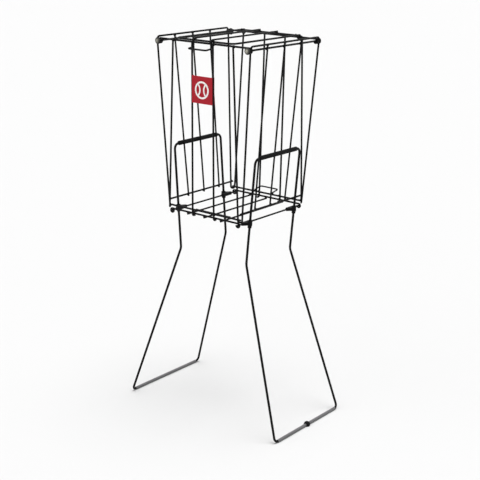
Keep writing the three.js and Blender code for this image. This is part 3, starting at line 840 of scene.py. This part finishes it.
def plate_outline(half_gap):
    """The plate's section, seen from above: a flat front whose two edges lip round a wire"""
    inner = FRAME_WIRE / 2 + CONTACT
    outer = inner + PLATE_THICKNESS
    lip_x = half_gap - inner
    right_lip = [
        *arc((half_gap, 0), inner, math.pi, PLATE_LIP_ANGLE, PLATE_LIP_STEPS),
        *arc((half_gap, 0), outer, PLATE_LIP_ANGLE, math.pi, PLATE_LIP_STEPS),
    ]
    left_lip = [(-x, y) for x, y in reversed(right_lip)]
    left_edge = -lip_x - PLATE_LEFT_EDGE
    right_edge = lip_x + PLATE_RIGHT_EDGE
    return [
        (left_edge, -outer), (right_edge, -outer), (right_edge, -inner), (lip_x, -inner), *right_lip,
        (lip_x - PLATE_THICKNESS, -inner), (PLATE_THICKNESS - lip_x, -inner), *left_lip,
        (-lip_x, -inner), (left_edge, -inner),
    ]


def extruded(outline, height):
    """Points and faces of an outline in X and Y raised along Z"""
    count = len(outline)
    points = [(x, y, z) for z in (0, height) for x, y in outline]
    faces = [(i, (i + 1) % count, (i + 1) % count + count, i + count) for i in range(count)]
    faces.append(tuple(reversed(range(count))))
    faces.append(tuple(range(count, 2 * count)))
    return points, faces


def bevelled(piece, width, segments, limit):
    """Bevels a piece's sharp edges for good, and keeps its flats flat"""
    bevel = piece.modifiers.new("edges", "BEVEL")
    bevel.width = width * MM
    bevel.segments = segments
    bevel.limit_method = "ANGLE"
    bevel.angle_limit = limit
    bevel.harden_normals = True
    return bake_modifiers(piece)


def bake_modifiers(piece):
    graph = bpy.context.evaluated_depsgraph_get()
    mesh = bpy.data.meshes.new_from_object(piece.evaluated_get(graph))
    piece.modifiers.clear()
    piece.data = mesh
    return piece


def make_plate():
    base_z = RIM_HEIGHT - PLATE_TOP_DROP - PLATE_HEIGHT
    share = (wall_wire_top - base_z - PLATE_HEIGHT / 2) / (wall_wire_top - wall_hook_z)
    half_gap = wall_wire_x(1, -1, share)
    tilt = math.atan2(RIM_HALF_DEPTH - BASE_HALF_DEPTH, RIM_HEIGHT - hoop_foot_z)
    place = Matrix.Translation((0, -wall_depth_at(base_z), base_z)) @ Matrix.Rotation(tilt, 4, "X")
    points, faces = extruded(plate_outline(half_gap), PLATE_HEIGHT)
    plate = add_mesh("red_plate_moulded", placed(points, place), faces, RED_PLASTIC, "basket",
                     ["red_plate"])
    bevelled(plate, PLATE_EDGE_BEVEL, PLATE_BEVEL_STEPS, PLATE_BEVEL_LIMIT)

    front = -(FRAME_WIRE / 2 + CONTACT + PLATE_THICKNESS)
    middle_x = (PLATE_RIGHT_EDGE - PLATE_LEFT_EDGE) / 2
    on_plate = place @ Matrix.Translation((middle_x, front, PLATE_HEIGHT / 2)) \
        @ Matrix.Rotation(math.pi / 2, 4, "X")
    make_emblem(on_plate)


def make_emblem(place):
    """A plain ball in white print: a ring, and two seams that curve in from its sides"""
    radius = EMBLEM_DIAMETER / 2
    last = 2 * math.pi * (RING_STEPS - 1) / RING_STEPS
    rings = [arc((0, 0), r, 0, last, RING_STEPS - 1) for r in (radius, radius - EMBLEM_STROKE)]
    add_band("plate_emblem_ring", *rings, True, place)
    reach = radius - EMBLEM_STROKE * SEAM_END_SHARE
    seam = SEAM_DIAMETER / 2
    spread = math.acos((SEAM_SPREAD ** 2 + seam ** 2 - reach ** 2) / (2 * SEAM_SPREAD * seam))
    for side, s in SIDES:
        middle = math.pi / 2 * (1 + s)
        edges = [
            arc((s * SEAM_SPREAD, 0), r, middle - spread, middle + spread, SEAM_STEPS)
            for r in (seam + SEAM_STROKE / 2, seam - SEAM_STROKE / 2)
        ]
        add_band(f"plate_emblem_{side}_seam", *edges, False, place)


def add_band(name, outer, inner, closed, place):
    """A thin raised band of print between two lines"""
    count = len(outer)
    points = [(x, y, z) for z in (-EMBLEM_HEIGHT, EMBLEM_HEIGHT) for x, y in (*outer, *inner)]
    layer = 2 * count
    faces = []
    for i in range(count if closed else count - 1):
        j = (i + 1) % count
        faces.append((layer + i, layer + j, layer + count + j, layer + count + i))
        faces.append((i, count + i, count + j, j))
        faces.append((i, j, layer + j, layer + i))
        faces.append((count + i, layer + count + i, layer + count + j, count + j))
    if not closed:
        for i in (0, count - 1):
            edge = (i, layer + i, layer + count + i, count + i)
            faces.append(edge if i == 0 else tuple(reversed(edge)))
    piece = add_mesh(name, placed(points, place), faces, WHITE_PRINT, "basket")
    piece.data.shade_flat()


# Lid

def make_lid():
    hinge_radius = touching(RAIL_WIRE, FRAME_WIRE)

    def eye(s):
        return [
            (s * lid_half_width, rail_y - hinge_radius, rail_z),
            (s * lid_half_width, rail_y - hinge_radius, rail_z - hinge_radius),
            (s * lid_half_width, rail_y + hinge_radius, rail_z - hinge_radius),
            (s * lid_half_width, rail_y + hinge_radius, lid_z),
        ]

    corners = [
        *eye(-1), (-lid_half_width, -rail_y, lid_z), (lid_half_width, -rail_y, lid_z), *reversed(eye(1)),
    ]
    bends = [LID_CORNER_BEND if y == -rail_y else hinge_radius for _, y, _ in corners]
    add_wire("lid", "lid_frame", corners, FRAME_WIRE, bends)

    reach = lid_half_width - FRAME_WIRE / 2 - CONTACT
    add_wire("lid", "lid_cross_wire", [(-reach, lid_cross_y, lid_z), (reach, lid_cross_y, lid_z)],
             FRAME_WIRE)

    handle_y = -rail_y - touching(RAIL_WIRE, FLOOR_WIRE) - HANDLE_GAP
    handle_z = lid_rod_z - HANDLE_DROP
    halves = [
        [
            (s * lid_rod_x, lid_cross_y + LID_ROD_TAIL, lid_rod_z),
            (s * lid_rod_x, handle_y, lid_rod_z),
            (s * lid_rod_x, handle_y, handle_z),
            (s * lid_rod_x, handle_y - HANDLE_REACH, handle_z - HANDLE_TIP_DROP),
        ]
        for _, s in SIDES
    ]
    add_wire("lid", "lid_rods_and_handle", [*halves[0], *reversed(halves[1])], FLOOR_WIRE, HANDLE_BEND)


# Leg loops

def make_leg(side, s):
    """The bent wire of one loop: a bar on the floor, two legs with knees, and a bar on top"""
    halves = [
        [
            (s * FOOT_HALF_SPREAD, e * FOOT_HALF_DEPTH, foot_z),
            (s * lean_at(KNEE_HEIGHT), e * loop_half_depth, KNEE_HEIGHT),
            (s * lean_at(GRIP_HEIGHT), e * loop_half_depth, GRIP_HEIGHT),
        ]
        for _, e in ENDS
    ]
    bends = [FOOT_BEND, KNEE_BEND, LOOP_TOP_BEND]
    corners = [*halves[0], *reversed(halves[1])]
    add_wire(f"{side}_loop", f"{side}_leg_loop", corners, LEG_WIRE, [*bends, *reversed(bends)], True)


def make_grip(side, s):
    length = 2 * (loop_half_depth - LOOP_TOP_BEND - GRIP_END_MARGIN)
    radius = leg_bore_radius + GRIP_WALL
    points, faces = lathe(sleeve_profile(radius, leg_bore_radius, length, GRIP_END_ROUNDING))
    place = Matrix.Translation((s * lean_at(GRIP_HEIGHT), 0, GRIP_HEIGHT))
    add_mesh(f"{side}_grip_foam", placed(points, place), faces, BLACK_RUBBER, f"{side}_loop",
             [f"{side}_grip_sleeve"])


def flat_on_floor(points):
    """Points round a foot bar's axis, none of them lower than the floor"""
    return [(x, y, max(z, -foot_z)) for x, y, z in points]


def make_foot_sleeve(side, s):
    length = 2 * (FOOT_HALF_DEPTH - FOOT_BEND - FOOT_SLEEVE_END_MARGIN)
    points, faces = lathe(
        sleeve_profile(foot_sleeve_radius, leg_bore_radius, length, FOOT_SLEEVE_ROUNDING)
    )
    place = Matrix.Translation((s * FOOT_HALF_SPREAD, 0, foot_z))
    add_mesh(f"{side}_foot_vinyl", placed(flat_on_floor(points), place), faces, GREY_VINYL,
             f"{side}_loop", [f"{side}_foot_sleeve"])


def make_collars(side, s):
    """Stop collars right under the guides, square to the leaning legs"""
    angle = math.atan(LOOP_LEAN)
    drop = GUIDE_HEIGHT / 2 + CONTACT + COLLAR_HEIGHT / 2
    collar_z = FLOOR_HEIGHT - drop * math.cos(angle)
    lean = Matrix.Rotation(s * angle, 4, "Y")
    upright = Matrix.Rotation(math.pi / 2, 4, "X")
    radius = leg_bore_radius + COLLAR_WALL
    points, faces = lathe(sleeve_profile(radius, leg_bore_radius, COLLAR_HEIGHT, COLLAR_ROUNDING))
    for end, e in ENDS:
        at = (s * lean_at(collar_z), e * loop_half_depth, collar_z)
        place = Matrix.Translation(at) @ lean @ upright
        add_mesh(f"{side}_{end}_collar_ring", placed(points, place), faces, BLACK_PLASTIC,
                 f"{side}_loop", [f"{side}_{end}_stop_collar"])


def make_loops():
    for side, s in SIDES:
        make_leg(side, s)
        make_grip(side, s)
        make_foot_sleeve(side, s)
        make_collars(side, s)


def make_foot_ball():
    """A rubber ball on the right foot bar, flattened by wear where it stands"""
    radius = BALL_DIAMETER / 2
    hole = foot_sleeve_radius + CONTACT
    mouth = math.asin(hole / radius)
    outside = arc((0, 0), radius, mouth - math.pi / 2, math.pi / 2 - mouth, BALL_STEPS)
    first, last = outside[0][1], outside[-1][1]
    profile = [(hole, first + BALL_LIP), *outside[1:-1], (hole, last - BALL_LIP)]
    points, faces = lathe(profile)
    place = Matrix.Translation((FOOT_HALF_SPREAD, 0, foot_z))
    add_mesh("foot_bar_ball_rubber", placed(flat_on_floor(points), place), faces, BLACK_RUBBER,
             "right_loop", ["foot_bar_ball"])


def make_guides():
    """Moulded guides: the CAD solids with their edges and inner corners filleted"""
    for side, _ in SIDES:
        for end, _ in ENDS:
            node = f"{side}_{end}_guide"
            piece = bpy.data.objects.new(f"{node}_moulded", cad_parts[node].data.copy())
            bpy.context.scene.collection.objects.link(piece)
            remesh = piece.modifiers.new("skin", "REMESH")
            remesh.mode = "VOXEL"
            remesh.voxel_size = GUIDE_VOXEL * MM
            smooth = piece.modifiers.new("fillets", "SMOOTH")
            smooth.factor = GUIDE_SMOOTHING_SHARE
            smooth.iterations = GUIDE_SMOOTHING_STEPS
            bake_modifiers(piece)
            piece.data.materials.clear()
            piece.data.materials.append(BLACK_PLASTIC)
            piece.data.shade_smooth()
            settle(piece, f"{side}_guides", [node])


# Stage

FLOOR_SIZE = 60.0
WHITE = (1, 1, 1, 1)
BACKDROP_LEVEL = 0.982
FLOOR_SHADE = 0.76
FLOOR_BOUNCE = 0.85
WORLD_STRENGTH = 0.15
# Each lamp: the way to it, the angle that it covers in degrees, and its strength
LAMPS = {
    "top_light": ((0.11, 0.05, 1.0), 36, 2.6),
    "front_light": ((-0.3, -1.0, 0.75), 70, 1.25),
    "back_light": ((0.3, 1.0, 0.6), 80, 0.5),
}


def seen_or_lit(add, lit, seen):
    """Shows the camera, mirrors and glass one shader, and lights the object with another"""
    path = add("ShaderNodeLightPath")
    rays = path.outputs["Is Camera Ray"]
    for kind in ("Is Glossy Ray", "Is Transmission Ray"):
        rays = add("ShaderNodeMath", {0: rays, 1: path.outputs[kind]}, operation="MAXIMUM").outputs[0]
    return add("ShaderNodeMixShader", {0: rays, 1: lit.outputs[0], 2: seen.outputs[0]}).outputs[0]


def open_floor_light():
    """How bright a white surface would be on the open floor"""
    suns = (Vector(way).normalized().z * strength for way, _, strength in LAMPS.values())
    return WORLD_STRENGTH + sum(suns) / math.pi


def make_floor_sheet():
    """A pale floor that keeps the object's shadow. Its open parts are as bright as the surround."""
    material, add = new_material("floor_white")
    plain = add("ShaderNodeBsdfDiffuse", {"Color": (FLOOR_BOUNCE,) * 3 + (1,)})
    shade = add("ShaderNodeBsdfDiffuse", {"Color": (FLOOR_SHADE,) * 3 + (1,)})
    glow_level = BACKDROP_LEVEL - FLOOR_SHADE * open_floor_light()
    glow = add("ShaderNodeEmission", {"Color": WHITE, "Strength": glow_level})
    seen = add("ShaderNodeAddShader", {0: shade.outputs[0], 1: glow.outputs[0]})
    add("ShaderNodeOutputMaterial", {"Surface": seen_or_lit(add, plain, seen)})
    mesh = bpy.data.meshes.new("studio_floor")
    half = FLOOR_SIZE / 2
    mesh.from_pydata([(-half, -half, 0), (half, -half, 0), (half, half, 0), (-half, half, 0)], [],
                     [(0, 1, 2, 3)])
    mesh.materials.append(material)
    floor = bpy.data.objects.new("studio_floor", mesh)
    bpy.context.scene.collection.objects.link(floor)


def make_surround():
    world = bpy.data.worlds.new("studio")
    world.use_nodes = True
    add = node_adder(world.node_tree)
    lit = add("ShaderNodeBackground", {"Color": WHITE, "Strength": WORLD_STRENGTH})
    seen = add("ShaderNodeBackground", {"Color": WHITE, "Strength": BACKDROP_LEVEL})
    add("ShaderNodeOutputWorld", {"Surface": seen_or_lit(add, lit, seen)})
    bpy.context.scene.world = world


def make_lamps():
    """Soft lamps so far away that they light the whole floor alike"""
    for name, (way, angle, strength) in LAMPS.items():
        lamp = bpy.data.lights.new(name, "SUN")
        lamp.angle = math.radians(angle)
        lamp.energy = strength
        holder = bpy.data.objects.new(name, lamp)
        holder.rotation_euler = Vector(way).to_track_quat("Z", "Y").to_euler()
        bpy.context.scene.collection.objects.link(holder)


# Camera: the photograph's view, fitted on a picture 480 pixels wide

PICTURE_WIDTH = 480
SENSOR_WIDTH = 36
AZIMUTH = math.radians(38.709)
ELEVATION = math.radians(15.290)
ROLL = math.radians(0.849)
DISTANCE = 2909.41
TARGET_HEIGHT = 528
FOCAL_PIXELS = 1141.186
PRINCIPAL_POINT = (236.139, 208.651)


def make_camera():
    back = Vector((
        math.sin(AZIMUTH) * math.cos(ELEVATION),
        -math.cos(AZIMUTH) * math.cos(ELEVATION),
        math.sin(ELEVATION),
    ))
    right = Vector((math.cos(AZIMUTH), math.sin(AZIMUTH), 0))
    up = back.cross(right)
    rolled_right = right * math.cos(ROLL) + up * math.sin(ROLL)
    rolled_up = up * math.cos(ROLL) - right * math.sin(ROLL)
    data = bpy.data.cameras.new("camera")
    data.sensor_width = SENSOR_WIDTH
    data.lens = SENSOR_WIDTH * FOCAL_PIXELS / PICTURE_WIDTH
    data.shift_x = (PICTURE_WIDTH / 2 - PRINCIPAL_POINT[0]) / PICTURE_WIDTH
    data.shift_y = (PRINCIPAL_POINT[1] - PICTURE_WIDTH / 2) / PICTURE_WIDTH
    camera = bpy.data.objects.new("camera", data)
    place = (Vector((0, 0, TARGET_HEIGHT)) + back * DISTANCE) * MM
    turn = Matrix((rolled_right, rolled_up, back)).transposed().to_4x4()
    camera.matrix_world = Matrix.Translation(place) @ turn
    bpy.context.scene.collection.objects.link(camera)
    bpy.context.scene.camera = camera


make_camera()
make_floor_sheet()
make_surround()
make_lamps()

make_hoops()
make_axles()
make_caps()
make_cross_members()
make_floor()
make_wall_wires()
make_side_walls()
make_back_bail()
add_welds("basket_welds", "basket", basket_weld_places())
make_plate()
make_lid()
add_welds("lid_welds", "lid", lid_weld_places())
make_guides()
make_loops()
make_foot_ball()

bpy.context.scene.view_settings.view_transform = "Standard"
